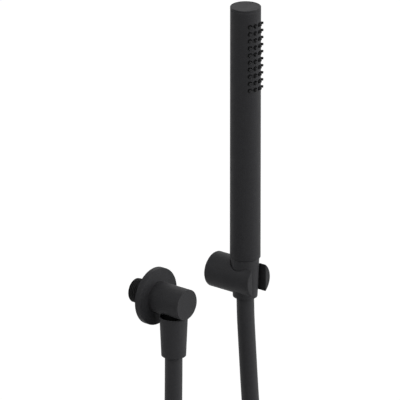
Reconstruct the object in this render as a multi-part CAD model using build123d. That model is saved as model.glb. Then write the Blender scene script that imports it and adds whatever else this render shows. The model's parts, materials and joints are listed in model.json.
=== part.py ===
from build123d import *
import os
from math import cos, degrees, pi, radians, sin, tan

# A round stick hand shower standing in its wall holder, with its hose and its wall outlet.
# Millimetres. The wall's face is y = 0, +Y goes into the wall, -Y out into the room, +Z up.
# The origin is on the wall outlet's axis, where the back of its flange meets the wall.

# ---------------------------------------------------------------- driving dimensions
# Places on the wall
holder_spacing = 81.6       # wall outlet's axis to holder's axis, along X

# Fits
running_gap = 0.05          # radial clearance of what turns or slides
soft_gap = 0.3              # hose to the moving piece over it
assembly_gap = 0.1          # clearance of what is pushed together and then locked

# G1/2 pipe thread, drawn plain at its outside diameter
thread_d = 20.955
thread_relief = 0.55        # how far a run of thread that is hidden inside a piece is turned down
thread_chamfer = 1.0

# Hose and the fittings crimped on its ends
hose_d = 15.0
hose_bore = 9.0
ferrule_wall = 0.65
ferrule_lip = 0.5
ferrule_end_gap = 0.9       # crimped sleeve to the mouth of the nut
core_bore = 6.4
core_flange_d = 18.6
core_flange = 1.5
tail_length = 16.5
tail_barbs = 4
barb_depth = 0.4

# Conical hose nut, the same at both ends
nut_top_d = 24.0
nut_end_d = 21.0
nut_length = 35.1
nut_edge = 0.3              # chamfer at its narrow end
nut_mouth_gap = 0.3         # hose to the mouth of the nut
nut_mouth_depth = 4.0
nut_rim = 0.5               # flat rim at the top
nut_entry = 2.2             # depth of the open counterbore over the thread
nut_entry_wall = 0.9
thread_engaged = 9.7        # how far the threaded end reaches into the nut
washer_t = 2.0
washer_bore = 11.0

# Hand shower
nut_to_handle = 0.4         # shadow gap between nut and handle
handle_d = 26.0
handle_wall = 1.5
handle_length = 224.0       # with its cap
handle_edge = 0.4
cap_t = 1.6
cap_edge = 0.3
cap_plug = 5.0
cap_wall = 2.0
adapter_length = 16.4       # part of the inlet adapter that is inside the handle
limiter_d = 15.0
limiter_t = 4.0
limiter_rim = 2.0
limiter_hole_d = 3.0
waterway_d = 12.0
waterway_wall = 1.2
socket_depth = 10.0         # how far the waterway tube goes into each end

# Nozzle field
nozzle_rows = 10
nozzle_pitch = 6.29
first_row = 14.2            # top of the hand shower to the first row
nozzle_angles = (-33.75, -11.25, 11.25, 33.75)
nozzle_d = 2.7              # where the nozzle comes out of the handle
nozzle_tip_d = 2.1
nozzle_reach = 2.0          # how far it stands out
nozzle_bore = 0.9
nozzle_hole_gap = 0.45      # nozzle to the wall of its hole
strip_t = 1.3
strip_margin = 3.5          # strip past the last rows
strip_side = 15.0           # degrees of strip past the outer columns
chamber_depth = 6.0
chamber_ledge = 1.0
former_tail = 16.0          # spray former below the strip
o_ring_d = 1.5
o_ring_side = 0.2           # groove wider than its ring, each side
o_ring_inset = 1.9          # centre of an end ring from the end that it seals

# Wall holder
holder_d = 30.5
holder_length = 47.4
socket_setback = 32.5       # wall to the axis of the hand shower
holder_edge = 0.8
slot_gap = 1.6              # hose to each jaw of the open slot
holder_nut_drop = 16.8      # holder's axis to the bottom of the nut
boss_base_d = 25.8
boss_base = 3.0
boss_d = 16.0
boss_length = 14.0
boss_groove = 0.6
boss_groove_w = 4.4
wall_screw_d = 5.3
screw_head_d = 10.4
lock_screw_d = 4.0
lock_screw_hex = 2.0
lock_screw_hex_depth = 2.0
lock_screw_point = 0.8
holder_lock = 8.0           # wall to the holder's locking screw

# Wall outlet
outlet_d = 26.5
outlet_reach = 36.3
outlet_edge = 0.35
outlet_nut_gap = 0.25       # outlet's underside to the top of the nut
spigot_setback = 21.8       # wall to the axis of the outlet's hose
waterway_bore = 13.0
outlet_front_wall = 7.0
flange_d = 49.4
flange_t = 5.3
flange_edge = 1.0
flange_skin = 2.0
flange_rim = 2.5
flange_hub_wall = 1.4
flange_overlap = 3.3        # how far the outlet reaches into the flange
nipple_reach = 19.9         # thread that stands out behind the wall's face
nipple_chamfer = 0.5
nipple_insert = 9.5         # wall's face to the nipple's front end
nipple_bore = 11.5
nipple_hex = 12.0
nipple_hex_depth = 7.0
nipple_seal_t = 1.5
outlet_lock = 7.2           # wall to the outlet's locking screw
spigot_neck_d = 18.0
spigot_seat = 4.0           # outlet's axis down to the seat of the spigot's seal
spigot_seal_t = 1.0
valve_d = 15.0
valve_length = 12.0
valve_recess = 0.5
valve_wall = 1.2
valve_seat_t = 2.0
valve_seat_bore = 9.0
valve_ledge = 2.0
spider_t = 1.5
spider_hole_d = 3.2
spider_holes = 3
poppet_d = 11.2
poppet_t = 1.5
stem_d = 2.4
stem_over = 1.0             # stem past the spider's underside
spring_d = 6.0
spring_wire = 0.5
spring_coils = 4
spring_play = 0.05

# Hose as it hangs: two legs, and a coil of one and a half turns that hangs between them
coil_radius = 82.0
coil_centre = (40.8, -364.0)            # x, z
coil_front = -42.4                      # y of the first strand
coil_pitch = 16.2
coil_lean = 12.0                        # degrees above the coil's middle where each leg joins it
coil_turns = 1.5 + 2 * coil_lean / 360
coil_chamfer = 3.0
tie_t = 1.2
tie_w = 10.0

# ---------------------------------------------------------------- places worked out from them
hand_x, hand_y = holder_spacing, -socket_setback
hand_nut_top = nut_length - holder_nut_drop
handle_base = hand_nut_top + nut_to_handle
handle_top = handle_base + handle_length
outlet_nut_top = -outlet_d / 2 - outlet_nut_gap
thread_r = thread_d / 2
hidden_r = thread_r - thread_relief / 2
handle_bore_r = handle_d / 2 - handle_wall
nut_shoulder = thread_engaged + washer_t + core_flange + running_gap
hose_seat = nut_shoulder + ferrule_lip
barb_r = hose_bore / 2 - running_gap
coil_depth = coil_pitch * coil_turns + hose_d
coil_y = coil_front + coil_pitch * coil_turns / 2

wall_outlet = Plane(origin=(0, 0, 0), x_dir=(1, 0, 0), z_dir=(0, -1, 0))
wall_holder = Plane(origin=(holder_spacing, 0, 0), x_dir=(1, 0, 0), z_dir=(0, -1, 0))
hand_axis = Pos(hand_x, hand_y, 0)
spigot_axis = Pos(0, -spigot_setback, 0)


def coil_point(turned_by):
    """Point of the coil's centre line after turned_by degrees from where the hand's leg joins it."""
    angle = radians(coil_lean - turned_by)
    return (coil_centre[0] + coil_radius * cos(angle),
            coil_front + coil_pitch * turned_by / 360,
            coil_centre[1] + coil_radius * sin(angle))


# Each leg's route, from its fitting down to the coil
hand_route = [
    (hand_x, hand_y, hand_nut_top - hose_seat - soft_gap),
    (81.6, -32.5, -26.0),
    (83.1, -33.3, -58.0),
    (86.6, -34.8, -122.0),
    (92.0, -37.2, -186.0),
    (101.0, -39.9, -246.0),
    (111.6, -42.0, -303.0),
    coil_point(0),
]
wall_route = [
    (0.0, -spigot_setback, outlet_nut_top - hose_seat),
    (0.0, -21.8, -66.0),
    (-0.8, -21.6, -118.0),
    (-6.8, -20.2, -178.0),
    (-17.6, -18.4, -240.0),
    (-29.6, -17.0, -300.0),
    coil_point(360 * coil_turns),
]


# ---------------------------------------------------------------- ways of making that are used often
def turned(*outline):
    """Solid turned about Z from the corners (radius, height) of its half section."""
    return revolve(make_face(Polyline(*[(r, 0, z) for r, z in outline], close=True)), Axis.Z)


def ring(inner_d, outer_d, low, high):
    return turned((inner_d / 2, low), (outer_d / 2, low), (outer_d / 2, high), (inner_d / 2, high))


def rod(diameter, low, high):
    return Pos(0, 0, low) * Cylinder(diameter / 2, high - low, align=(Align.CENTER, Align.CENTER, Align.MIN))


def o_ring(wall_r, height):
    """Eight-sided ring, flat where it is pressed on the wall that it seals and on its groove's floor."""
    half = o_ring_d / 2
    r, flat = wall_r - half, half * tan(pi / 8)
    corners = [(half, flat), (flat, half), (-flat, half), (-half, flat),
               (-half, -flat), (-flat, -half), (flat, -half), (half, -flat)]
    return Pos(0, 0, height) * turned(*[(r + across, up) for across, up in corners])


def o_ring_groove(wall_r, height):
    half = o_ring_d / 2 + o_ring_side
    return ring(2 * (wall_r - o_ring_d), 2 * wall_r + 2, height - half, height + half)


def inner_groove(bore_r, height):
    """Groove in the wall of a bore, for a ring that seals on the tube inside it."""
    half = o_ring_d / 2 + o_ring_side
    return ring(2 * bore_r - 2, 2 * (bore_r + o_ring_d), height - half, height + half)


def hexagon(across_flats, low, high):
    outline = RegularPolygon(across_flats / 2, 6, major_radius=False)
    return Pos(0, 0, low) * extrude(outline, high - low)


def lock_screw(length):
    """Grub screw with a hexagon socket, its point at the origin and its socket towards -Z."""
    r = lock_screw_d / 2
    point_r = r - lock_screw_point
    body = turned((0, 0), (point_r, 0), (r, -lock_screw_point), (r, -length), (0, -length))
    return body - hexagon(lock_screw_hex, -length, -length + lock_screw_hex_depth)


# ---------------------------------------------------------------- hose fittings
def nut_radius(depth):
    """Outside radius of the nut's cone at a depth under its top."""
    return (nut_top_d - (nut_top_d - nut_end_d) * depth / nut_length) / 2


def hose_nut():
    """Conical nut, its top at z = 0: rim, thread, shoulder for the core, sleeve and mouth."""
    mouth_r = hose_d / 2 + nut_mouth_gap
    sleeve_r = hose_d / 2 + running_gap + ferrule_wall + 2 * running_gap
    bore_r = thread_r + running_gap
    entry_r = nut_top_d / 2 - nut_entry_wall
    return turned(
        (nut_top_d / 2 - nut_rim, 0), (nut_top_d / 2, 0),
        (nut_radius(nut_length - nut_edge), nut_edge - nut_length), (nut_end_d / 2 - nut_edge, -nut_length),
        (mouth_r, -nut_length), (mouth_r, nut_mouth_depth - nut_length),
        (sleeve_r, nut_mouth_depth - nut_length), (sleeve_r, -nut_shoulder), (bore_r, -nut_shoulder),
        (bore_r, -nut_entry), (entry_r, -nut_entry), (entry_r, nut_rim - nut_entry_wall))


def hose_core():
    """Brass insert: a flange under the washer and a barbed tail inside the hose."""
    top = -thread_engaged - washer_t
    foot = top - core_flange
    pitch = tail_length / tail_barbs
    outline = [(core_bore / 2, top), (core_flange_d / 2, top), (core_flange_d / 2, foot), (barb_r, foot)]
    for barb in range(tail_barbs):
        low = foot - pitch * (barb + 1)
        outline += [(barb_r, low + pitch * 0.5), (barb_r - barb_depth, low)]
        if barb < tail_barbs - 1:
            outline.append((barb_r, low))
    outline.append((core_bore / 2, foot - tail_length))
    return turned(*outline)


def hose_ferrule():
    """Crimped sleeve round the hose, from the core's flange, which holds its lip, to the nut's mouth."""
    inner_r = hose_d / 2 + running_gap
    outer_r = inner_r + ferrule_wall
    top = -thread_engaged - washer_t - core_flange
    foot = nut_mouth_depth + ferrule_end_gap - nut_length
    lip_r = barb_r + running_gap
    return turned((lip_r, top), (outer_r, top), (outer_r, foot), (inner_r, foot),
                  (inner_r, top - ferrule_lip), (lip_r, top - ferrule_lip))


def hose_washer():
    return ring(washer_bore, thread_d - 2 * assembly_gap, -thread_engaged - washer_t, -thread_engaged)


# ---------------------------------------------------------------- hose
def hose_leg(route):
    """Hose along straight runs joined by tangent arcs, with the hole that its barbed core fills."""
    points = [Vector(*p) for p in route]
    runs = [b - a for a, b in zip(points, points[1:])]
    radii = []
    for run, after in zip(runs, runs[1:]):
        half_turn = radians(run.get_angle(after)) / 2
        radii.append(0.45 * min(run.length, after.length) / tan(half_turn))
    path = FilletPolyline(*points, radius=radii)
    section = Plane(origin=points[0], z_dir=runs[0]) * Circle(hose_d / 2)
    leg = sweep(section, path=path)
    expected = pi * hose_d ** 2 / 4 * path.length
    print(f"hose leg {path.length:.1f} mm, volume {leg.volume / expected:.4f} of section x length,"
          f" radii {', '.join(f'{r:.0f}' for r in radii)}")
    hole = Pos(*route[0]) * rod(hose_bore, -tail_length, 1)
    return leg - hole


def hose_coil(clear=0.0):
    """Outer shape of the coil: a ring as wide as the hose and as deep as its turns side by side."""
    inner_r = coil_radius - hose_d / 2 - clear
    outer_r = coil_radius + hose_d / 2 + clear
    half, c = coil_depth / 2 + clear, coil_chamfer
    body = turned((inner_r + c, -half), (outer_r - c, -half), (outer_r, -half + c), (outer_r, half - c),
                  (outer_r - c, half), (inner_r + c, half), (inner_r, half - c), (inner_r, -half + c))
    centre = Plane(origin=(coil_centre[0], coil_y, coil_centre[1]), x_dir=(1, 0, 0), z_dir=(0, 1, 0))
    return centre * body


def hose_tie(side):
    """Strap close round the coil at its left (-1) or right (1) side."""
    strap = Box(hose_d + 2 * tie_t, coil_depth + 2 * tie_t, tie_w)
    strap = fillet(strap.edges().filter_by(Axis.Z), coil_chamfer)
    return Pos(coil_centre[0] + side * coil_radius, coil_y, coil_centre[1]) * strap - hose_coil(running_gap)


# ---------------------------------------------------------------- hand shower
strip_top = handle_top - first_row + strip_margin
strip_low = handle_top - first_row - (nozzle_rows - 1) * nozzle_pitch - strip_margin
strip_r = handle_bore_r - strip_t
strip_half = nozzle_angles[-1] + strip_side
former_low = strip_low - former_tail
former_top = handle_top - cap_t - cap_plug
adapter_top = handle_base + adapter_length
tube_low = adapter_top - socket_depth
tube_top = former_low + socket_depth


def at_nozzles(piece):
    """Copies of a piece that points along +Z, one at each nozzle, pointing out of the handle."""
    return [Pos(0, 0, handle_top - first_row - row * nozzle_pitch) * Rot(0, 0, angle) * Rot(90, 0, 0) * piece
            for row in range(nozzle_rows) for angle in nozzle_angles]


def front_sector(inner_r, outer_r, low, high, half_angle):
    """Piece of a ring, half_angle degrees to each side of the front."""
    section = make_face(Polyline((inner_r, 0, low), (outer_r, 0, low), (outer_r, 0, high),
                                 (inner_r, 0, high), close=True))
    return Rot(0, 0, -90 - half_angle) * revolve(section, Axis.Z, revolution_arc=2 * half_angle)


def handle_tube():
    r = handle_d / 2
    top = handle_top - cap_t
    tube = turned((handle_bore_r, handle_base), (r - handle_edge, handle_base), (r, handle_base + handle_edge),
                  (r, top), (handle_bore_r, top))
    return tube - at_nozzles(rod(nozzle_d + 2 * nozzle_hole_gap, strip_r, r + 1))


def nozzle_strip():
    """Silicone strip behind the wall, with a conical nozzle through each hole."""
    r = handle_d / 2
    nozzle = turned((0, strip_r + strip_t / 2), (nozzle_d / 2, strip_r + strip_t / 2), (nozzle_d / 2, r),
                    (nozzle_tip_d / 2, r + nozzle_reach), (0, r + nozzle_reach))
    strip = front_sector(strip_r, handle_bore_r, strip_low, strip_top, strip_half)
    strip = strip + at_nozzles(nozzle)
    return strip - at_nozzles(rod(nozzle_bore, strip_r - 1, r + nozzle_reach + 1))


def spray_former():
    """Insert that backs the strip: water chamber, socket for the waterway and a ring groove at each end."""
    body = rod(2 * handle_bore_r, former_low, former_top)
    body -= front_sector(strip_r, handle_bore_r + 1, strip_low, strip_top, strip_half)
    chamber_w = 2 * (strip_r * sin(radians(strip_half)) - chamber_ledge)
    chamber_h = strip_top - strip_low - 2 * chamber_ledge
    body -= Pos(0, -strip_r, (strip_top + strip_low) / 2) * Box(chamber_w, 2 * chamber_depth, chamber_h)
    body -= rod(waterway_d, former_low, tube_top)
    body -= rod(waterway_d - 2 * waterway_wall, former_low, strip_low + 2 * chamber_ledge)
    body -= o_ring_groove(handle_bore_r, former_top - o_ring_inset)
    body -= o_ring_groove(handle_bore_r, tube_top + o_ring_inset)
    return body - inner_groove(waterway_d / 2, (former_low + tube_top) / 2)


def chamber_seals():
    return [o_ring(handle_bore_r, former_top - o_ring_inset), o_ring(handle_bore_r, tube_top + o_ring_inset)]


def waterway_tube():
    return ring(waterway_d - 2 * waterway_wall, waterway_d, tube_low, tube_top)


def waterway_seals():
    outer_r = waterway_d / 2 + o_ring_d
    return [o_ring(outer_r, (former_low + tube_top) / 2), o_ring(outer_r, (adapter_top + tube_low) / 2)]


def inlet_adapter():
    """Brass end of the handle: G1/2 thread below, plug in the handle, socket for the waterway."""
    end = hand_nut_top - thread_engaged
    body = turned((0, end), (thread_r - thread_chamfer, end), (thread_r, end + thread_chamfer),
                  (thread_r, handle_base), (handle_bore_r, handle_base), (handle_bore_r, adapter_top),
                  (0, adapter_top))
    body -= rod(limiter_d, end, end + limiter_t)
    body -= rod(waterway_d - 2 * waterway_wall, end, adapter_top)
    body -= rod(waterway_d, tube_low, adapter_top)
    body -= o_ring_groove(handle_bore_r, (handle_base + tube_low) / 2)
    return body - inner_groove(waterway_d / 2, (adapter_top + tube_low) / 2)


def flow_limiter():
    """Disc with a rim and a ring of small holes, in the mouth of the adapter."""
    end = hand_nut_top - thread_engaged
    disc = rod(limiter_d, end, end + limiter_t) - rod(limiter_d - 2 * limiter_rim, end, end + limiter_t / 2)
    holes = [Rot(0, 0, 60 * i) * Pos(limiter_d / 5, 0, 0) * rod(limiter_hole_d / 2, end, end + limiter_t + 1)
             for i in range(6)]
    return disc - holes


def top_cap():
    """Flat cap whose plug goes into the handle."""
    r = handle_d / 2
    seat = handle_top - cap_t
    inner_r = handle_bore_r - o_ring_d - cap_wall
    cap = turned((0, handle_top), (r - cap_edge, handle_top), (r, handle_top - cap_edge), (r, seat),
                 (handle_bore_r, seat), (handle_bore_r, former_top), (inner_r, former_top), (inner_r, seat),
                 (0, seat))
    return cap - o_ring_groove(handle_bore_r, (seat + former_top) / 2)


def cap_seal():
    return o_ring(handle_bore_r, (handle_top - cap_t + former_top) / 2)


def adapter_seal():
    return o_ring(handle_bore_r, (handle_base + tube_low) / 2)


# ---------------------------------------------------------------- wall holder
def holder_body():
    """Round arm with a conical socket down through it, open to the front, and a blind back for its boss."""
    arm = rod(holder_d, 0, holder_length)
    arm = fillet(arm.edges().group_by(Axis.Z)[-1], holder_edge)
    arm -= rod(boss_base_d + 2 * assembly_gap, 0, boss_base + assembly_gap)
    arm -= rod(boss_d + 2 * assembly_gap, 0, boss_length + assembly_gap)
    arm = wall_holder * arm
    reach = holder_d / 2 + 1
    top_r = nut_radius(hand_nut_top - reach) + running_gap
    low_r = nut_radius(hand_nut_top + reach) + running_gap
    arm -= hand_axis * turned((0, -reach), (low_r, -reach), (top_r, reach), (0, reach))
    slot_w = hose_d + 2 * slot_gap
    slot = Box(slot_w, holder_length, 2 * reach, align=(Align.CENTER, Align.MAX, Align.CENTER))
    arm -= hand_axis * slot
    return arm - Pos(holder_spacing, -holder_lock, -holder_d / 2) * rod(lock_screw_d, -1, holder_d / 2)


def holder_boss():
    """Boss that is screwed to the wall and carries the holder."""
    groove_r = boss_d / 2 - boss_groove
    sink = (screw_head_d - wall_screw_d) / 2
    low, high = holder_lock - boss_groove_w / 2, holder_lock + boss_groove_w / 2
    return wall_holder * turned(
        (wall_screw_d / 2, 0), (boss_base_d / 2, 0), (boss_base_d / 2, boss_base), (boss_d / 2, boss_base),
        (boss_d / 2, low), (groove_r, low), (groove_r, high), (boss_d / 2, high), (boss_d / 2, boss_length),
        (screw_head_d / 2, boss_length), (wall_screw_d / 2, boss_length - sink))


def holder_lock_screw():
    point = boss_d / 2 - boss_groove
    return Pos(holder_spacing, -holder_lock, -point) * lock_screw(holder_d / 2 - point - 1)


# ---------------------------------------------------------------- wall outlet
spigot_end = outlet_nut_top - thread_engaged
spigot_top = -spigot_seat - spigot_seal_t
valve_top = spigot_top - valve_recess
valve_low = valve_top - valve_length
seat_z = valve_top - valve_seat_t
spider_top = valve_low + spider_t
outlet_back = flange_t - flange_overlap
seal_back = nipple_insert + nipple_seal_t


def outlet_body():
    """Round elbow: threaded back for the nipple, waterway, and a threaded hole down for the spigot."""
    body = rod(outlet_d, outlet_back, outlet_reach)
    body = chamfer(body.edges().group_by(Axis.Z)[-1], outlet_edge)
    body -= rod(2 * hidden_r, outlet_back, seal_back)
    body -= rod(waterway_bore, seal_back, outlet_reach - outlet_front_wall)
    body = wall_outlet * body
    body -= spigot_axis * rod(spigot_neck_d, -outlet_d, -spigot_seat)
    body -= spigot_axis * rod(valve_d - 2 * valve_wall, -outlet_d, 0)
    return body - Pos(0, -outlet_lock, -outlet_d / 2) * rod(lock_screw_d, -1, outlet_d / 2 - hidden_r + 1)


def outlet_lock_screw():
    return Pos(0, -outlet_lock, -hidden_r) * lock_screw(outlet_d / 2 - hidden_r)


def wall_flange():
    """Round cover plate, hollow at the back, with a hub that the outlet's end sits in."""
    r = flange_d / 2
    hole_r = thread_r + assembly_gap
    seat_r = outlet_d / 2 + assembly_gap
    hub_r = seat_r + flange_hub_wall
    skin = flange_t - flange_skin
    plate = turned((hole_r, 0), (hub_r, 0), (hub_r, skin), (r - flange_rim, skin), (r - flange_rim, 0), (r, 0),
                   (r, flange_t), (seat_r, flange_t), (seat_r, outlet_back), (hole_r, outlet_back))
    rim = plate.edges().filter_by(GeomType.CIRCLE).group_by(Axis.Z)[-1].sort_by(SortBy.RADIUS)[-1]
    return wall_outlet * fillet(rim, flange_edge)


def flange_seal():
    hub_d = outlet_d + 2 * assembly_gap + 2 * flange_hub_wall
    return wall_outlet * ring(hub_d, flange_d - 2 * flange_rim, 0, flange_t - flange_skin)


def inlet_nipple():
    """Threaded nipple into the wall's pipe, with a hexagon socket to turn it in by."""
    nipple = turned(
        (nipple_bore / 2, -nipple_reach), (thread_r - nipple_chamfer, -nipple_reach),
        (thread_r, nipple_chamfer - nipple_reach), (thread_r, 0), (hidden_r, 0), (hidden_r, nipple_insert),
        (nipple_bore / 2, nipple_insert))
    return wall_outlet * (nipple - hexagon(nipple_hex, nipple_insert - nipple_hex_depth, nipple_insert))


def nipple_seal():
    return wall_outlet * ring(waterway_bore, 2 * hidden_r, nipple_insert, seal_back)


def outlet_spigot():
    """Neck screwed into the outlet, with the thread for the hose nut and a bore for the valve."""
    neck_r = spigot_neck_d / 2
    thread_start = outlet_nut_top - nut_entry
    return turned((valve_d / 2, spigot_top), (neck_r, spigot_top), (neck_r, thread_start),
                  (thread_r, thread_start), (thread_r, spigot_end + thread_chamfer),
                  (thread_r - thread_chamfer, spigot_end), (valve_d / 2 - valve_ledge, spigot_end),
                  (valve_d / 2 - valve_ledge, valve_low), (valve_d / 2, valve_low))


def spigot_seal():
    return ring(valve_d, spigot_neck_d, spigot_top, -spigot_seat)


def check_valve_body():
    """Cage of the non-return valve: seat at the top, spider with the stem's guide at the bottom."""
    outer_r = valve_d / 2
    inner_r = outer_r - valve_wall
    guide_r = stem_d / 2 + running_gap
    cage = turned((valve_seat_bore / 2, valve_top), (outer_r, valve_top), (outer_r, valve_low),
                  (guide_r, valve_low), (guide_r, spider_top), (inner_r, spider_top), (inner_r, seat_z),
                  (valve_seat_bore / 2, seat_z))
    hole = Pos((outer_r - valve_ledge + guide_r) / 2, 0, 0) * rod(spider_hole_d, valve_low - 1, spider_top + 1)
    return cage - [Rot(0, 0, 360 / spider_holes * i) * hole for i in range(spider_holes)]


def check_valve_poppet():
    under = seat_z - running_gap - poppet_t
    return turned((0, seat_z - running_gap), (poppet_d / 2, seat_z - running_gap), (poppet_d / 2, under),
                  (stem_d / 2, under), (stem_d / 2, valve_low - stem_over), (0, valve_low - stem_over))


def check_valve_spring():
    low = spider_top + spring_wire / 2 + spring_play
    high = seat_z - running_gap - poppet_t - spring_wire / 2 - spring_play
    path = Pos(0, 0, low) * Helix((high - low) / spring_coils, high - low, spring_d / 2)
    wire = Plane(origin=path @ 0, x_dir=(1, 0, 0), z_dir=path % 0) * RegularPolygon(spring_wire / 2, 6)
    return sweep(wire, path=path, is_frenet=True)


# ---------------------------------------------------------------- assembly
def placed(place, *pieces):
    return [place * piece for piece in pieces]


hand_nut = hand_axis * Pos(0, 0, hand_nut_top)
wall_nut = spigot_axis * Pos(0, 0, outlet_nut_top)

nodes = {
    "handle_tube": placed(hand_axis, handle_tube()),
    "top_cap": placed(hand_axis, top_cap()),
    "cap_seal": placed(hand_axis, cap_seal()),
    "nozzle_strip": placed(hand_axis, nozzle_strip()),
    "spray_former": placed(hand_axis, spray_former()),
    "chamber_seals": placed(hand_axis, *chamber_seals()),
    "waterway_tube": placed(hand_axis, waterway_tube()),
    "waterway_seals": placed(hand_axis, *waterway_seals()),
    "inlet_adapter": placed(hand_axis, inlet_adapter()),
    "adapter_seal": placed(hand_axis, adapter_seal()),
    "flow_limiter": placed(hand_axis, flow_limiter()),
    "hose_washer_hand": placed(hand_nut, hose_washer()),
    "hose_nut_hand": placed(hand_nut, hose_nut()),
    "hose_core_hand": placed(hand_nut, hose_core()),
    "hose_ferrule_hand": placed(hand_nut, hose_ferrule()),
    "hose_leg_hand": [hose_leg(hand_route)],
    "hose_coil": [hose_coil()],
    "hose_ties": [hose_tie(-1), hose_tie(1)],
    "hose_leg_wall": [hose_leg(wall_route)],
    "hose_ferrule_wall": placed(wall_nut, hose_ferrule()),
    "hose_core_wall": placed(wall_nut, hose_core()),
    "hose_nut_wall": placed(wall_nut, hose_nut()),
    "hose_washer_wall": placed(wall_nut, hose_washer()),
    "outlet_body": [outlet_body()],
    "outlet_lock_screw": [outlet_lock_screw()],
    "wall_flange": [wall_flange()],
    "flange_seal": [flange_seal()],
    "inlet_nipple": [inlet_nipple()],
    "nipple_seal": [nipple_seal()],
    "outlet_spigot": placed(spigot_axis, outlet_spigot()),
    "spigot_seal": placed(spigot_axis, spigot_seal()),
    "check_valve_body": placed(spigot_axis, check_valve_body()),
    "check_valve_poppet": placed(spigot_axis, check_valve_poppet()),
    "check_valve_spring": placed(spigot_axis, check_valve_spring()),
    "holder_body": [holder_body()],
    "holder_boss": [holder_boss()],
    "holder_lock_screw": [holder_lock_screw()],
}

os.makedirs("parts", exist_ok=True)
for name, pieces in nodes.items():
    solids = [solid for piece in pieces for solid in piece.solids()]
    export_step(solids[0] if len(solids) == 1 else Compound(children=solids), f"parts/{name}.step")
print(f"{len(nodes)} nodes written")
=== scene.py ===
# %% [markdown]
# # A hand shower on its holder
#
# The model is a round stick hand shower that stands in a wall holder. Its hose runs down, round a
# put-away coil and up again to the wall outlet that feeds it. The construction model is loaded as a
# fixed frame, in metres: the wall's face is y = 0, -Y comes out into the room and +Z is up. Pieces
# whose shape is right in that frame keep their mesh and only get a finish. The hose, the straps, the
# threads, the nozzles and the pieces whose soft edges catch the light are worked out here.

# %% Load the frame
import json
import math

import bmesh
import bpy
import numpy as np
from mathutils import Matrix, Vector


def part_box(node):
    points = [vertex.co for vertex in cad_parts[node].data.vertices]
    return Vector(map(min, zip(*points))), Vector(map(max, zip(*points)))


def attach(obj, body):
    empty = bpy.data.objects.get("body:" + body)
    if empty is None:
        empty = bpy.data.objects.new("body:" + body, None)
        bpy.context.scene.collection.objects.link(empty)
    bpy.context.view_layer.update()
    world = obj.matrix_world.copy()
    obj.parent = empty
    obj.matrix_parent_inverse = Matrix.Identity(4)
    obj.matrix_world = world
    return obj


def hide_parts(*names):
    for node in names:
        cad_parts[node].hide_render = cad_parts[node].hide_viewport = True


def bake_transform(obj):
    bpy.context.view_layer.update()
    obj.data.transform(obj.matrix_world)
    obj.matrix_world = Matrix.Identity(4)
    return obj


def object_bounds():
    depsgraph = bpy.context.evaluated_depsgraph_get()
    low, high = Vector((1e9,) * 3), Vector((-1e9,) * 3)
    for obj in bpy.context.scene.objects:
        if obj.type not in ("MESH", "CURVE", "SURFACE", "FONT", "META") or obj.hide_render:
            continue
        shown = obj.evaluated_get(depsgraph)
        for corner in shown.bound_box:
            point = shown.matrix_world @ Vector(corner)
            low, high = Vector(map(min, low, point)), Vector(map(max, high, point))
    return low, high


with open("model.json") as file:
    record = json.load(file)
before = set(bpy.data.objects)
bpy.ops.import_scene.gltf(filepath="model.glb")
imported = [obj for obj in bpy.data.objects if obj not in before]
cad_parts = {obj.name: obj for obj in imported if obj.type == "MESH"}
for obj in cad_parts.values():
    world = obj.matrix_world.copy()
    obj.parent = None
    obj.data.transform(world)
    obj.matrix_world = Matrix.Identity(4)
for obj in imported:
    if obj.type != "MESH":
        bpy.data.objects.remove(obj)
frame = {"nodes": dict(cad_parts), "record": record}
cad_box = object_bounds()
NODES = frame["nodes"]
MM = 0.001

# %% [markdown]
# ## The camera
#
# A product is best shown with a long lens from far away, so that upright edges stay parallel.
# The camera looks from the front left and a little from above. It is placed first, because the hose
# has to be put away outside what it sees.

# %% Camera
AZIMUTH, ELEVATION = math.radians(-50.44), math.radians(20.73)
LENS, SENSOR = 1000.0, 36.0
VIEW_WIDTH = 336.1 * MM
AIM = Vector((47.04, -11.6, 74.56)) * MM

towards_camera = Vector((math.sin(AZIMUTH) * math.cos(ELEVATION),
                         -math.cos(AZIMUTH) * math.cos(ELEVATION), math.sin(ELEVATION)))
camera = bpy.data.objects.new("camera", bpy.data.cameras.new("camera"))
bpy.context.collection.objects.link(camera)
camera.data.lens, camera.data.sensor_width = LENS, SENSOR
camera.location = AIM + towards_camera * (VIEW_WIDTH * LENS / SENSOR)
camera.rotation_mode = "QUATERNION"
camera.rotation_quaternion = towards_camera.to_track_quat("Z", "Y")
bpy.context.scene.camera = camera
print("camera at", [round(c, 3) for c in camera.location])

# %% [markdown]
# ## Where the pieces are
#
# The frame says where each node lies. The new pieces take their places from there, in millimetres,
# so that the numbers read like those on a drawing. A mesh is scaled to metres only when it is made.

# %% Places from the frame
def node_box(node):
    """Lowest corner, highest corner and middle of a node, in millimetres."""
    low, high = (np.array(corner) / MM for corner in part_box(node))
    return low, high, (low + high) / 2


handle_low, handle_high, handle_middle = node_box("handle_tube")
hand_nut_low, hand_nut_high, _ = node_box("hose_nut_hand")
_, wall_nut_high, wall_nut_middle = node_box("hose_nut_wall")
HAND_AXIS, SPIGOT_AXIS = handle_middle[:2], wall_nut_middle[:2]
HAND_NUT_TOP, WALL_NUT_TOP = hand_nut_high[2], wall_nut_high[2]
print("hand shower's axis at", HAND_AXIS.round(2), "spigot's axis at", SPIGOT_AXIS.round(2))

# %% [markdown]
# ## Surfaces from arrays
#
# Nearly every piece here is round, so most shapes are stacks of rings: a grid with one direction
# along the piece and one around it. One function turns such a grid into a closed mesh. The grid is
# worked out by numpy as a whole array and given to the mesh in one go, which is fast and exact.

# %% Grids into a mesh
def mesh_object(name, points, faces):
    """Object at the origin from an (n, 3) array of points in millimetres and a list of faces."""
    mesh = bpy.data.meshes.new(name)
    mesh.from_pydata((points * MM).tolist(), [], faces)
    mesh.shade_smooth()
    made = bpy.data.objects.new(name, mesh)
    bpy.context.collection.objects.link(made)
    return made


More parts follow.
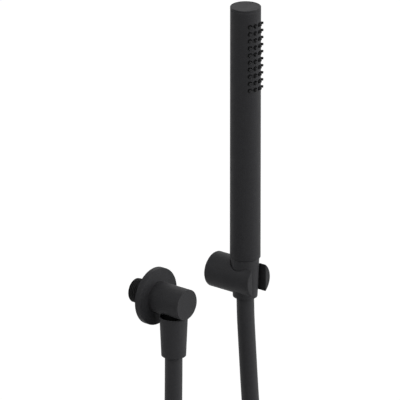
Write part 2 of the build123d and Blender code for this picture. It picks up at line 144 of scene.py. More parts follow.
def grid_faces(rows, columns, rows_closed=False, columns_closed=True):
    """Four-sided faces between neighbours on a grid of points, as an (n, 4) array of indices."""
    i, j = np.meshgrid(np.arange(rows if rows_closed else rows - 1),
                       np.arange(columns if columns_closed else columns - 1), indexing="ij")
    after, beside = (i + 1) % rows, (j + 1) % columns
    return np.stack([i * columns + j, i * columns + beside, after * columns + beside, after * columns + j],
                    axis=-1).reshape(-1, 4)


def skin(name, rings, closed=False):
    """Closed mesh over an array (rings, around, 3). Open ends are shut by a fan from their middle."""
    count, around = rings.shape[:2]
    points = rings.reshape(-1, 3)
    faces = grid_faces(count, around, closed).tolist()
    if not closed:
        points = np.vstack([points, rings[[0, -1]].mean(axis=1)])
        first, last = count * around, (count - 1) * around
        here = np.arange(around)
        beside = (here + 1) % around
        faces += np.column_stack([np.full(around, first), beside, here]).tolist()
        faces += np.column_stack([np.full(around, first + 1), last + here, last + beside]).tolist()
    return mesh_object(name, points, faces)


def weld(piece, distance=0.002):
    """Joins points closer than a distance in millimetres, and turns all faces outwards."""
    work = bmesh.new()
    work.from_mesh(piece.data)
    bmesh.ops.remove_doubles(work, verts=work.verts, dist=distance * MM)
    bmesh.ops.recalc_face_normals(work, faces=work.faces)
    work.to_mesh(piece.data)
    work.free()
    piece.data.shade_smooth()
    return piece


# %% [markdown]
# ## The hose
#
# The hose is a smooth plastic tube, 15 mm thick and 1.5 m long. It leaves the nut straight down and
# leans out a little under its own stiffness. What is left over is wound into a coil of one and a
# half turns that hangs below, held by two straps. The route is one NURBS curve through a few
# chosen points. The tube then follows points read from that curve, so it has no kinks.

# %% The route
HOSE_D, HOSE_AROUND = 15.0, 40
COIL_RADIUS, COIL_TURNS, COIL_PITCH = 82.0, 1.5, 16.2
COIL_CENTRE, COIL_FRONT = (40.8, -364.0), -42.4
COIL_LEAN = 12.0                # degrees by which each leg meets the coil above its side
COIL_ANGLE = 360 * COIL_TURNS + 2 * COIL_LEAN
COIL_POINTS, ROUTE_STEPS = 26, 12

HAND_LEG = [(81.6, -32.5, 4.25), (81.6, -32.5, -26.0), (83.1, -33.3, -58.0), (86.6, -34.8, -122.0),
            (92.0, -37.2, -186.0), (101.0, -39.9, -246.0), (111.6, -42.0, -303.0)]
WALL_LEG = [(-29.6, -17.0, -300.0), (-17.6, -18.4, -240.0), (-6.8, -20.2, -178.0), (-0.8, -21.6, -118.0),
            (0.0, -21.8, -66.0), (0.0, -21.8, -27.25)]


def on_coil(turned, reach):
    """Points on a helix about the Y direction, after the hose has turned by so many degrees."""
    angle = np.radians(COIL_LEAN - turned)
    return np.column_stack([COIL_CENTRE[0] + reach * np.cos(angle), COIL_FRONT + COIL_PITCH * turned / 360,
                            COIL_CENTRE[1] + reach * np.sin(angle)])


def coil_points():
    """Points a little outside the coil's radius, because a curve of order 3 runs inside its points by
    the share that the cosine of one step gives."""
    turned = np.linspace(0, COIL_ANGLE, COIL_POINTS)
    return on_coil(turned, COIL_RADIUS / (0.75 + 0.25 * math.cos(math.radians(turned[1]))))


def along_curve(points, steps):
    """Points along a smooth NURBS curve that has these control points."""
    curve = bpy.data.curves.new("route", "CURVE")
    curve.dimensions = "3D"
    spline = curve.splines.new("NURBS")
    spline.points.add(len(points) - 1)
    spline.points.foreach_set("co", np.column_stack([points, np.ones(len(points))]).ravel())
    spline.order_u = 3
    spline.use_endpoint_u = True
    spline.resolution_u = steps
    carrier = bpy.data.objects.new("route", curve)
    mesh = bpy.data.meshes.new_from_object(carrier)
    line = np.empty(len(mesh.vertices) * 3)
    mesh.vertices.foreach_get("co", line)
    bpy.data.objects.remove(carrier)
    bpy.data.meshes.remove(mesh)
    bpy.data.curves.remove(curve)
    return line.reshape(-1, 3)


route = along_curve(np.vstack([HAND_LEG, coil_points(), WALL_LEG]), ROUTE_STEPS)
route_length = np.linalg.norm(np.diff(route, axis=0), axis=1).sum()
print("hose route:", len(route), "points,", round(route_length), "mm")


# %% The tube on the route
def tube(name, path, radius, around):
    """A circle carried along the path. Its plane is square to the path, and one of its axes stays as
    near as it can to the Y direction, so the tube doesn't twist."""
    along = np.gradient(path, axis=0)
    along /= np.linalg.norm(along, axis=1, keepdims=True)
    side = np.cross(along, (0.0, 1.0, 0.0))
    side /= np.linalg.norm(side, axis=1, keepdims=True)
    up = np.cross(side, along)
    turn = np.linspace(0, 2 * math.pi, around, endpoint=False)
    circle = side[:, None] * np.cos(turn)[None, :, None] + up[:, None] * np.sin(turn)[None, :, None]
    return weld(skin(name, path[:, None] + radius * circle))


hose = tube("hose", route, HOSE_D / 2, HOSE_AROUND)
print("hose:", len(hose.data.polygons), "faces")

# %% [markdown]

# %% [markdown]
# ## The straps
#
# Two woven straps with a hook and loop face hold the coil. Each goes once round the two strands that
# lie side by side, close enough to press on them, and ends in a flap that is folded over itself. A
# strap is a flat cross-section carried round a path of two straight sides and two half circles.

# %% Straps
STRAP_T, STRAP_W, STRAP_SOFT = 1.2, 10.0, 0.35
STRAP_FLAP = 26.0               # length of the end that lies over the first layer
STRAP_CLIMB = 5.0               # length over which it gets there
STRAND_GAP, LAYER_GAP = 0.1, 0.05
STRAP_CORNERS, STRAP_RINGS = 16, 140


def round_strands(along, radius):
    """Points, and outward directions, at distances along a path round two strands a pitch apart in Y.
    The path has two straights as long as the pitch and a half circle round each strand. It starts in
    the middle of the straight on its +X side."""
    half, bend = COIL_PITCH / 2, math.pi * radius
    stops = np.cumsum([0, half, bend, 2 * half, bend, half])
    s = np.mod(along, stops[-1])
    angle = np.interp(s, stops, [0, 0, math.pi, math.pi, 2 * math.pi, 2 * math.pi])
    y = np.interp(s, stops, [0, half, half, -half, -half, 0])
    outward = np.column_stack([np.cos(angle), np.sin(angle), 0 * s])
    return radius * outward + np.column_stack([0 * s, y, 0 * s]), outward


def strap_section():
    """Closed outline (along the thickness, along the width) with four rounded corners."""
    turn = np.linspace(0, 2 * math.pi, STRAP_CORNERS, endpoint=False) + math.pi / STRAP_CORNERS
    round_part = STRAP_SOFT * np.column_stack([np.cos(turn), np.sin(turn)])
    return round_part + np.sign(round_part) * (STRAP_T / 2 - STRAP_SOFT, STRAP_W / 2 - STRAP_SOFT)


def strap(name, turned_first, side):
    """Strap round the two strands that pass one side of the coil. Its end climbs onto its start: the
    lift goes from 0 to one thickness as 3 x squared less 2 x cubed of the share of the climb."""
    y = COIL_FRONT + COIL_PITCH * (turned_first / 360 + 0.5)
    middle = np.array([COIL_CENTRE[0] + side * COIL_RADIUS, y, COIL_CENTRE[1]])
    radius = HOSE_D / 2 + STRAND_GAP + STRAP_T / 2
    once = 2 * COIL_PITCH + 2 * math.pi * radius
    along = np.linspace(0, once + STRAP_FLAP, STRAP_RINGS)
    share = np.clip((along - once + STRAP_CLIMB) / STRAP_CLIMB, 0, 1)
    lift = share ** 2 * (3 - 2 * share) * (STRAP_T + LAYER_GAP)
    path, outward = round_strands(along, radius)
    section = strap_section()
    rings = path[:, None] + outward[:, None] * (section[None, :, :1] + lift[:, None, None])
    rings = rings * (side, 1, 1) + middle
    rings[..., 2] += section[:, 1]
    return weld(skin(name, rings))


right_strap = strap("strap_right", COIL_LEAN, 1)
left_strap = strap("strap_left", COIL_LEAN + 180, -1)
for piece in (right_strap, left_strap):
    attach(piece, "wall_side")
    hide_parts("hose_ties")
print("straps:", len(right_strap.data.polygons), "faces each")

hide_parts("hose_leg_hand", "hose_coil", "hose_leg_wall")
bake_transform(hose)

# %% [markdown]
# ## Turned pieces
#
# The hose nuts are turned on a lathe, so each is one outline carried round an axis. A real edge is
# never perfectly sharp: powder coat rounds it by some tenths of a millimetre, and that thin band is
# what catches the light. The outline's corners are therefore rounded before it is turned.

# %% Outlines with soft corners, and turning
def soft_outline(corners, radii, steps=4):
    """Closed outline from its corners. Each corner becomes a parabola between two points that lie its
    radius away along the two sides, with one more point on each side so that the flats shade flat."""
    corners = np.array(corners, float)
    back, on = np.roll(corners, 1, axis=0) - corners, np.roll(corners, -1, axis=0) - corners
    back /= np.linalg.norm(back, axis=1, keepdims=True)
    on /= np.linalg.norm(on, axis=1, keepdims=True)
    reach = np.broadcast_to(radii, len(corners))[:, None].astype(float)
    start, end = (corners + reach * back)[:, None], (corners + reach * on)[:, None]
    t = np.linspace(0, 1, steps + 1)[None, :, None]
    bend = (1 - t) ** 2 * start + 2 * t * (1 - t) * corners[:, None] + t ** 2 * end
    support = 0.5 * reach
    outline = np.concatenate([start + (support * back)[:, None], bend, end + (support * on)[:, None]], axis=1)
    return outline.reshape(-1, 2)


def about_axis(radius, height, turn, centre, towards):
    """Points at a radius, a height and a turn about an axis through the centre: across is radius
    times cosine, over is radius times sine. The axis points up or out of the wall."""
    across, over, height = radius * np.cos(turn), radius * np.sin(turn), height + 0 * turn
    if towards == "up":
        return np.stack([across, over, height], axis=-1) + centre
    return np.stack([across, -height, over], axis=-1) + centre


def turned_rings(outline, centre, around, towards="up"):
    """Rings (point of the outline, around, 3) of an outline (radius, height) carried round an axis."""
    turn = np.linspace(0, 2 * math.pi, around, endpoint=False)
    return about_axis(outline[:, 0, None], outline[:, 1, None], turn, centre, towards)


# %% Hose nuts
NUT_LENGTH = (hand_nut_high - hand_nut_low)[2]
NUT_TOP_R, NUT_END_R = (hand_nut_high - hand_nut_low)[0] / 2, 10.5
NUT_MOUTH_R, NUT_MOUTH_DEPTH, NUT_SLEEVE_R = 7.8, 4.0, 8.3
NUT_ENTRY_R, NUT_ENTRY, NUT_BORE_R, NUT_SHOULDER = 11.1, 2.2, 10.53, 13.25
NUT_SOFT = [0.4, 0.3, 0.2, 0.1, 0.1, 0.1, 0.1, 0.1, 0.1, 0.3]      # one radius for each corner
NUT_AROUND = 96


def nut_outline():
    """Outline of the conical nut with its top at height 0: outside going up, then inside going down."""
    mouth_top = NUT_MOUTH_DEPTH - NUT_LENGTH
    corners = [(NUT_END_R, -NUT_LENGTH), (NUT_TOP_R, 0), (NUT_ENTRY_R, 0), (NUT_ENTRY_R, -NUT_ENTRY),
               (NUT_BORE_R, -NUT_ENTRY), (NUT_BORE_R, -NUT_SHOULDER), (NUT_SLEEVE_R, -NUT_SHOULDER),
               (NUT_SLEEVE_R, mouth_top), (NUT_MOUTH_R, mouth_top), (NUT_MOUTH_R, -NUT_LENGTH)]
    return soft_outline(corners, NUT_SOFT)


def hose_nut(name, axis, top, node, body):
    """One nut, placed by its axis and its top, in the place of its node."""
    made = skin(name, turned_rings(nut_outline(), (*axis, top), NUT_AROUND), closed=True)
    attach(made, body)
    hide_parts(node)
    return made


hand_nut = hose_nut("hand_nut", HAND_AXIS, HAND_NUT_TOP, "hose_nut_hand", "hand_shower")
wall_nut = hose_nut("wall_nut", SPIGOT_AXIS, WALL_NUT_TOP, "hose_nut_wall", "wall_side")
print("hose nuts:", len(hand_nut.data.polygons), "faces each")

# %% [markdown]
# ## Threads
#
# The pipe threads are G1/2: 14 to the inch, with flanks at 55 degrees and rounded crests and roots.
# A thread is a turned surface whose radius also depends on the angle. Going once round moves the
# wave up by one pitch, so the crests run on as one helix. Near an end a cone cuts the crests down.

# %% Pipe thread
PITCH = 25.4 / 14
THREAD_R, THREAD_DEPTH = 20.955 / 2, 1.162
THREAD_ROWS = 16                # rings in one pitch
FLANK_SLOPE = 1.45              # of the wave, before its crest and root are cut flat
ROUNDED_SHARE = 0.35            # how much of the wave is smoothed at crest and root


def thread_wave(turns):
    """1 on the crest and 0 in the root: straight flanks, flattened and rounded at both ends."""
    wave = np.abs(np.mod(turns, 1.0) - 0.5) * 2
    flank = np.clip((wave - 0.5) * FLANK_SLOPE + 0.5, 0, 1)
    return flank ** 2 * (3 - 2 * flank) * ROUNDED_SHARE + flank * (1 - ROUNDED_SHARE)


def thread_rings(start, stop, chamfer, centre, around, towards="up"):
    """Rings of the threaded stretch between two heights. The crests are cut by a cone that is a
    chamfer smaller than the thread at the stop and grows by 45 degrees."""
    rows = int(abs(stop - start) / PITCH * THREAD_ROWS)
    heights = np.linspace(start, stop, rows)[:, None]
    turn = np.linspace(0, 2 * math.pi, around, endpoint=False)
    wave = thread_wave(heights / PITCH - turn / (2 * math.pi))
    cone = np.maximum(THREAD_R - chamfer + np.abs(heights - stop), THREAD_R - THREAD_DEPTH)
    radius = np.minimum(THREAD_R - THREAD_DEPTH * (1 - wave), cone)
    return about_axis(radius, heights, turn, centre, towards)


# %% [markdown]
# The inlet nipple is turned into the pipe in the wall with a hexagon key, so it is open from end to
# end, with a hexagon socket at its front. The outlet's spigot carries the hose nut and has a smooth
# neck that goes up into the outlet. Both are brass that was blackened after the thread was cut; the
# neck's finish is darker still, which paints the deep shade in the gap round it.

# %% Nipple and spigot
THREAD_AROUND = 96
NIPPLE_CHAMFER, SPIGOT_CHAMFER, THREAD_RUNOUT = 0.7, 0.8, 0.4
NIPPLE_BORE_R, NIPPLE_HEX, NIPPLE_HEX_DEPTH, NIPPLE_PLAIN = 5.75, 12.0, 7.0, 0.6
HIDDEN_THREAD_R = THREAD_R - 0.275
NIPPLE_SOFT, NECK_SOFT = 0.3, 0.2
NECK_R, VALVE_R, VALVE_LEDGE_R = 9.0, 7.5, 5.5
VALVE_SNOUT = 1.0               # how far the valve reaches down through the ledge that it sits on
nipple_low, nipple_high, _ = node_box("inlet_nipple")
spigot_low, spigot_high, _ = node_box("outlet_spigot")
VALVE_LOW = node_box("check_valve_body")[0][2] + VALVE_SNOUT


def inlet_nipple():
    """Thread from the back to the wall, a plain part in the outlet, the hexagon socket and the bore.
    A hexagon's radius is half its width over the cosine of the angle from the nearest flat's middle."""
    back, front = -nipple_high[1], -nipple_low[1]
    thread = thread_rings(-NIPPLE_PLAIN, back, NIPPLE_CHAMFER, np.zeros(3), THREAD_AROUND, "out")[::-1]
    plain = np.array([(THREAD_R - THREAD_DEPTH, -NIPPLE_PLAIN / 2), (HIDDEN_THREAD_R, 0.0),
                      (HIDDEN_THREAD_R, front - NIPPLE_SOFT), (HIDDEN_THREAD_R - NIPPLE_SOFT, front)])
    inside = np.array([(NIPPLE_HEX / 2, front), (NIPPLE_HEX / 2, front - NIPPLE_HEX_DEPTH),
                       (NIPPLE_BORE_R, front - NIPPLE_HEX_DEPTH), (NIPPLE_BORE_R, back + NIPPLE_SOFT),
                       (NIPPLE_BORE_R + NIPPLE_SOFT, back)])
    outer, inner = (turned_rings(part, np.zeros(3), THREAD_AROUND, "out") for part in (plain, inside))
    turn = np.linspace(0, 2 * math.pi, THREAD_AROUND, endpoint=False)
    inner[:2, :, [0, 2]] /= np.cos(np.mod(turn, math.pi / 3) - math.pi / 6)[None, :, None]
    return skin("inlet_thread", np.concatenate([thread, outer, inner]), closed=True)


def outlet_spigot():
    """Thread for the hose nut below, the neck above it, and the bore that holds the valve."""
    low, high, start = spigot_low[2], spigot_high[2], WALL_NUT_TOP - NUT_ENTRY
    centre = np.array([*SPIGOT_AXIS, 0.0])
    thread = thread_rings(start - THREAD_RUNOUT, low, SPIGOT_CHAMFER, centre, THREAD_AROUND)[::-1]
    neck = np.array([(NECK_R, start), (NECK_R, high - NECK_SOFT), (NECK_R - NECK_SOFT, high), (VALVE_R, high),
                     (VALVE_R, VALVE_LOW), (VALVE_LEDGE_R, VALVE_LOW), (VALVE_LEDGE_R, low)])
    return skin("spigot_thread", np.concatenate([thread, turned_rings(neck, centre, THREAD_AROUND)]), closed=True)


inlet, spigot = inlet_nipple(), outlet_spigot()
for piece, node in ((inlet, "inlet_nipple"), (spigot, "outlet_spigot")):
    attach(piece, "wall_side")
    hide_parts(node)
print("threads:", len(inlet.data.polygons), "and", len(spigot.data.polygons), "faces")

# %% [markdown]
# ## The handle and its nozzles
#
# The handle is a brass tube with forty holes in its front. The holes are drilled on a grid, so the
# tube can be a grid too: each hole owns a square cell, and in that cell the mesh runs from the
# square's edge to the circle of the hole in a few rings. The rim of each hole is slightly rounded,
# as the coating leaves it, and then the wall of the hole goes down to the bore of the tube.

# %% The handle's numbers
HANDLE_R, HANDLE_WALL, HANDLE_EDGE = (handle_high - handle_low)[0] / 2, 1.5, 0.4
HANDLE_BASE, TUBE_TOP, HANDLE_TOP = handle_low[2], handle_high[2], node_box("top_cap")[1][2]
BORE_R = HANDLE_R - HANDLE_WALL
ROWS, ROW_PITCH, FIRST_ROW = 10, 6.29, 14.2
NOZZLE_ANGLES = np.radians([-33.75, -11.25, 11.25, 33.75])
HOLE_R, HOLE_RIM = 1.95, 0.1
CELL_STEPS = 8                                  # faces along one side of a cell
CELL_TURN = math.radians(22.5)
CELL_SHARES, WALL_SHARES = (0.0, 0.5, 0.85), (1.0, 0.6, 0.0)    # levels from square to rim, and down the wall
RIM_LINES = 4
AROUND = 128                                    # so that one cell is CELL_STEPS wide
LINES_BELOW, LINES_ABOVE, EDGE_LINES = 24, 6, 5

row_heights = HANDLE_TOP - FIRST_ROW - ROW_PITCH * np.arange(ROWS)


# %% The tube with its holes
def cell_square():
    """Points along the edge of a square cell, as shares (-1 to 1) of its half width and half height."""
    side = np.linspace(-1, 1, CELL_STEPS + 1)[:-1]
    one = np.ones(CELL_STEPS)
    return np.vstack([np.column_stack([side, -one]), np.column_stack([one, side]),
                      np.column_stack([-side, one]), np.column_stack([-one, -side])])


def cell_patch():
    """Tube radius, turn and height of the points of one cell, in levels from the outer square to the
    hole's edge, over its rim and down to the bore. A point of a round hole of radius h in direction t
    lies h sin(t) up and arcsin(h cos(t) / tube radius) round the tube."""
    square = cell_square()
    towards = np.arctan2(square[:, 1] * ROW_PITCH, square[:, 0] * CELL_TURN * HANDLE_R)
    # inwards over the tube, a quarter circle over the rim, then down the wall of the hole and out again
    levels = [(share, HOLE_R + HOLE_RIM, HANDLE_R) for share in CELL_SHARES]
    levels += [(1.0, HOLE_R + HOLE_RIM * (1 - math.sin(a)), HANDLE_R - HOLE_RIM * (1 - math.cos(a)))
               for a in np.radians(np.linspace(0, 90, RIM_LINES))]
    levels += [(share, HOLE_R, BORE_R) for share in WALL_SHARES]
    share, hole_r, tube_r = np.array(levels).T[:, :, None]
    turn = (1 - share) * square[:, 0] * CELL_TURN / 2 + share * np.arcsin(hole_r * np.cos(towards) / tube_r)
    up = (1 - share) * square[:, 1] * ROW_PITCH / 2 + share * hole_r * np.sin(towards)
    return tube_r, turn, up


def handle_tube():
    """The tube as a grid without its cells, welded to one patch for each nozzle hole."""
    field_low, field_high = row_heights[-1] - ROW_PITCH / 2, row_heights[0] + ROW_PITCH / 2
    below = np.linspace(HANDLE_BASE + HANDLE_EDGE, field_low, LINES_BELOW)[:-1]
    field = np.linspace(field_low, field_high, ROWS * CELL_STEPS + 1)
    lines = np.concatenate([below, field, np.linspace(field_high, TUBE_TOP, LINES_ABOVE)[1:]])
    bend = np.radians(np.linspace(-90, 0, EDGE_LINES)[:-1])
    edge = np.column_stack([HANDLE_R + HANDLE_EDGE * (np.cos(bend) - 1),
                            HANDLE_BASE + HANDLE_EDGE * (np.sin(bend) + 1)])
    outside = np.column_stack([np.full(len(lines), HANDLE_R), lines])
    inside = np.column_stack([np.full(len(lines), BORE_R), lines[::-1]])
    outline = np.vstack([edge, outside, inside, [(BORE_R, HANDLE_BASE)]])
    turn = np.linspace(0, 2 * math.pi, AROUND, endpoint=False) - math.pi / 2
    grid = about_axis(outline[:, 0, None], outline[:, 1, None], turn, 0.0, "up")
    # the cells are left open outside and inside: their rows are counted from the outline's two ends
    keep = np.ones((len(outline), AROUND), bool)
    cells, half_field = np.arange(ROWS * CELL_STEPS), len(NOZZLE_ANGLES) * CELL_STEPS // 2
    in_field = np.concatenate([len(edge) + len(below) + cells, len(outline) - 3 - len(below) - cells])
    keep[np.ix_(in_field, np.arange(-half_field, half_field))] = False
    faces = grid_faces(len(outline), AROUND, rows_closed=True).reshape(len(outline), AROUND, 4)

    tube_r, turn_in_cell, up = cell_patch()
    angle = NOZZLE_ANGLES[:, None, None] - math.pi / 2 + turn_in_cell
    column = about_axis(tube_r, up, angle, 0.0, "up")
    patches = column[None] + np.array([0, 0, 1.0]) * row_heights[:, None, None, None, None]
    patch_faces = grid_faces(*up.shape)
    starts = AROUND * len(outline) + up.size * np.arange(ROWS * len(NOZZLE_ANGLES))
    all_faces = np.vstack([faces[keep], (patch_faces + starts[:, None, None]).reshape(-1, 4)])
    points = np.vstack([grid.reshape(-1, 3), patches.reshape(-1, 3)]) + (*HAND_AXIS, 0)
    return weld(mesh_object("handle", points, all_faces.tolist()))


handle = handle_tube()
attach(handle, "hand_shower")
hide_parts("handle_tube")
print("handle:", len(handle.data.polygons), "faces")

# %% [markdown]
# The nozzles belong to one silicone strip that lies behind the holes. A finger can rub lime off them
# because they are soft and stand out of the tube. Each is a small cone with a rounded tip and a bore.
# One outline is turned into a nozzle, and its rings are then laid out of the tube at each hole, so
# that the nozzle stays a few hundred faces and all forty are alike.

# %% Nozzles on their strip
NOZZLE_R, NOZZLE_TIP_R, NOZZLE_REACH, NOZZLE_BORE_R, NOZZLE_SOFT = 1.15, 1.1, 2.0, 0.4, 0.25
NOZZLE_CONE = 0.9               # how far inside the handle's surface the cone starts
NOZZLE_AROUND = 20
BORE_RIM, BORE_RIM_DEPTH, BORE_FLOOR, NEAR_AXIS = 0.08, 0.1, 0.5, 0.02
STRIP_T, STRIP_MARGIN, STRIP_SIDE, STRIP_SOFT = 1.3, 3.5, math.radians(15.0), 0.15
STRIP_LINES = 49


def nozzle_rings():
    """One nozzle along +Z: foot, cone, rounded tip and bore. The heights are from the tube's axis."""
    foot, tip = BORE_R - STRIP_T / 2, HANDLE_R + NOZZLE_REACH
    bend = np.radians(np.linspace(0, 90, 4))
    rounded = np.column_stack([NOZZLE_TIP_R + NOZZLE_SOFT * (np.cos(bend) - 1),
                               tip + NOZZLE_SOFT * (np.sin(bend) - 1)])
    outline = np.vstack([[(NEAR_AXIS, foot), (NOZZLE_R, foot), (NOZZLE_R, HANDLE_R - NOZZLE_CONE)], rounded,
                         [(NOZZLE_BORE_R + BORE_RIM, tip), (NOZZLE_BORE_R, tip - BORE_RIM_DEPTH),
                          (NOZZLE_BORE_R, foot + BORE_FLOOR), (NEAR_AXIS, foot + BORE_FLOOR)]])
    return turned_rings(outline, np.zeros(3), NOZZLE_AROUND)


def strip_rings():
    """The curved strip, as its section carried round the tube's axis."""
    low, high = row_heights[-1] - STRIP_MARGIN, row_heights[0] + STRIP_MARGIN
    inner = BORE_R - STRIP_T
    section = soft_outline([(BORE_R, low), (BORE_R, high), (inner, high), (inner, low)], STRIP_SOFT, 2)
    half = NOZZLE_ANGLES[-1] + STRIP_SIDE
    turn = np.linspace(-half, half, STRIP_LINES)[:, None] - math.pi / 2
    return about_axis(section[:, 0], section[:, 1], turn, 0.0, "up")


def nozzle_strip():
    """Strip and nozzles joined into one object: each nozzle's Z is turned to point out of the tube."""
    pieces = [skin("nozzles", strip_rings() + (*HAND_AXIS, 0))]
    one = nozzle_rings()
    for height in row_heights:
        for angle in NOZZLE_ANGLES - math.pi / 2:
            out, side = (math.cos(angle), math.sin(angle), 0), (-math.sin(angle), math.cos(angle), 0)
            turned = one @ np.array([side, (0, 0, 1), out]) + (*HAND_AXIS, height)
            pieces.append(skin("nozzle", turned))
    with bpy.context.temp_override(active_object=pieces[0], selected_editable_objects=pieces):
        bpy.ops.object.join()
    return weld(pieces[0], 0.001)


nozzles = nozzle_strip()
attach(nozzles, "hand_shower")
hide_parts("nozzle_strip")
print("nozzles:", len(nozzles.data.polygons), "faces")

# %% [markdown]
# ## The holder
#
# The holder is a round bar with a conical socket cut down through it and a slot to let the hose in
# from the front. Its edges are curves in space where cones, cylinders and planes cross, which is hard
# to draw as one grid. A distance field handles it easily: each cut is a function that is negative
# inside, the functions are combined, and where two of them meet the combination can be rounded. The
# surface is then where the value is zero. It is caught in a net of small cubes: a point goes into
# each cube that the surface crosses, a face joins the points round each crossed edge, and the points
# are then pulled onto the surface.

# %% Two shapes with a rounded edge between them
def both(a, b, soft):
    """Distance to the part that two shapes share, with the edge between them rounded by a radius."""
    outside = np.hypot(np.maximum(a + soft, 0), np.maximum(b + soft, 0))
    return np.minimum(np.maximum(a, b), -soft) + outside


# %% A point in each cube
def edge_ends(grid, axis, across=slice(None)):
    """Values of a grid at the lower and at the upper ends of all cube edges along one axis."""
    near, far = [across] * 3, [across] * 3
    near[axis], far[axis] = slice(None, -1), slice(1, None)
    return grid[tuple(near)], grid[tuple(far)]


def crossing_points(value, corner, step):
    """One point in each small cube that the surface crosses: the mean of the places where it crosses
    the cube's edges. A place divides its edge as the values at the two ends do. Gives the points, and
    for every cube the index of its point, or -1."""
    cubes = tuple(n - 1 for n in value.shape)
    total, crossings = np.zeros((*cubes, 3)), np.zeros(cubes)
    for axis in range(3):
        a, b = edge_ends(value, axis)
        crossed = (a < 0) != (b < 0)
        share = np.where(crossed, a / np.where(crossed, a - b, 1), 0)
        place = edge_ends(corner, axis)[0].copy()
        place[..., axis] += share * step
        first, second = [k for k in range(3) if k != axis]
        for i in (0, 1):
            for j in (0, 1):
                part = [slice(None)] * 3
                part[first] = slice(i, i + cubes[first])
                part[second] = slice(j, j + cubes[second])
                hit = crossed[tuple(part)]
                total += np.where(hit[..., None], place[tuple(part)], 0)
                crossings += hit
    used = crossings > 0
    index = np.full(cubes, -1)
    index[used] = np.arange(used.sum())
    return total[used] / crossings[used][:, None], index


# %% A face round each crossed edge
def crossing_faces(inside, index):
    """A face round each cube edge that the surface crosses, through the points of the four cubes that
    share this edge. The end that lies inside sets the order of its corners, so that it faces outwards."""
    faces = []
    for axis in range(3):
        first, second = [(1, 2), (2, 0), (0, 1)][axis]
        a, b = edge_ends(inside, axis, slice(1, -1))
        for rising, order in ((a & ~b, (0, 1, 2, 3)), (~a & b, (3, 2, 1, 0))):
            cell = np.argwhere(rising)
            cell[:, first] += 1
            cell[:, second] += 1
            around = []
            for back_first, back_second in ((1, 1), (0, 1), (0, 0), (1, 0)):
                beside = cell.copy()
                beside[:, first] -= back_first
                beside[:, second] -= back_second
                around.append(index[tuple(beside.T)])
            faces.append(np.stack(around, axis=-1)[:, list(order)])
    return np.vstack(faces)


# %% Points pulled onto the surface
SLOPE_REACH, PULL_ROUNDS, LEAST_SLOPE = 0.01, 6, 0.2


def pulled(points, distance, step):
    """Points moved onto the surface in a few rounds: each goes against the distance's slope, by the
    distance over the square of the slope's length, and never by more than half a cube."""
    for _ in range(PULL_ROUNDS):
        here = distance(*points.T)
        sides = [(points + SLOPE_REACH * unit, points - SLOPE_REACH * unit) for unit in np.eye(3)]
        slope = np.stack([(distance(*ahead.T) - distance(*behind.T)) / (2 * SLOPE_REACH)
                          for ahead, behind in sides], axis=-1)
        length = np.maximum((slope ** 2).sum(axis=1), LEAST_SLOPE)
        points = points - slope * np.clip(here / length, -step / 2, step / 2)[:, None]
    return points


def net(name, distance, low, high, step):
    """Mesh of the surface where the distance is zero, found on cubes of one size between two corners."""
    axes = [np.arange(a, b + step, step) for a, b in zip(low, high)]
    corner = np.stack(np.meshgrid(*axes, indexing="ij"), axis=-1)
    value = distance(*np.moveaxis(corner, -1, 0))
    points, index = crossing_points(value, corner, step)
    faces = crossing_faces(value < 0, index)
    return mesh_object(name, pulled(points, distance, step), faces.tolist())


# %% The holder
holder_low, holder_high, holder_middle = node_box("holder_body")
HOLDER_R, HOLDER_LENGTH, HOLDER_X = (holder_high - holder_low)[0] / 2, -holder_low[1], holder_middle[0]
HOLDER_EDGE, SOCKET_EDGE, BACK_EDGE, SCREW_EDGE = 0.8, 0.45, 0.3, 0.15
SOCKET_GAP, SOCKET_FLARE, SLOT_HALF = 0.05, 0.5, 9.1
BOSS_BASE_R, BOSS_BASE, BOSS_R, BOSS_LENGTH = 13.0, 3.1, 8.1, 14.1
HOLDER_LOCK, LOCK_SCREW_R = 8.0, 2.0
HOLDER_STEP, HOLDER_ROOM = 0.5, 1.0             # size of a cube, and space left round the bar


def holder_distance(x, y, z):
    """Round bar, less the conical socket, which flares a little towards its top, the slot in front of
    it, the stepped hole for the boss at the wall and a small hole below for the locking screw."""
    x = x - HOLDER_X
    bar = both(both(np.hypot(x, z) - HOLDER_R, -HOLDER_LENGTH - y, HOLDER_EDGE), y, BACK_EDGE)
    cone_r = NUT_TOP_R - (NUT_TOP_R - NUT_END_R) * (HAND_NUT_TOP - z) / NUT_LENGTH + SOCKET_GAP
    cone_r = cone_r + SOCKET_FLARE * np.clip((z + HOLDER_R) / (2 * HOLDER_R), 0, 1)
    outside_cone = cone_r - np.hypot(x, y - HAND_AXIS[1])
    beside_slot = SLOT_HALF - np.abs(x)
    in_front = both(outside_cone, beside_slot, SOCKET_EDGE)
    solid = both(bar, np.where(y < HAND_AXIS[1], in_front, outside_cone), SOCKET_EDGE)
    base = np.maximum(np.hypot(x, z) - BOSS_BASE_R, -BOSS_BASE - y)
    boss = np.maximum(np.hypot(x, z) - BOSS_R, -BOSS_LENGTH - y)
    screw = np.maximum(np.hypot(x, y + HOLDER_LOCK) - LOCK_SCREW_R, z)
    return both(np.maximum(solid, -np.minimum(base, boss)), -screw, SCREW_EDGE)


holder = net("holder", holder_distance, holder_low - HOLDER_ROOM, holder_high + HOLDER_ROOM, HOLDER_STEP)
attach(holder, "wall_side")
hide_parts("holder_body")
print("holder:", len(holder.data.polygons), "faces")

# %% [markdown]
# ## Finishes
#
# Everything that the eye meets is black, but not the same black. The brass parts have a matte powder
# coat with a fine grain, the hose is smooth plastic, the nozzles are soft silicone and the threads
# are blackened metal. Each finish below starts from what it is made of.

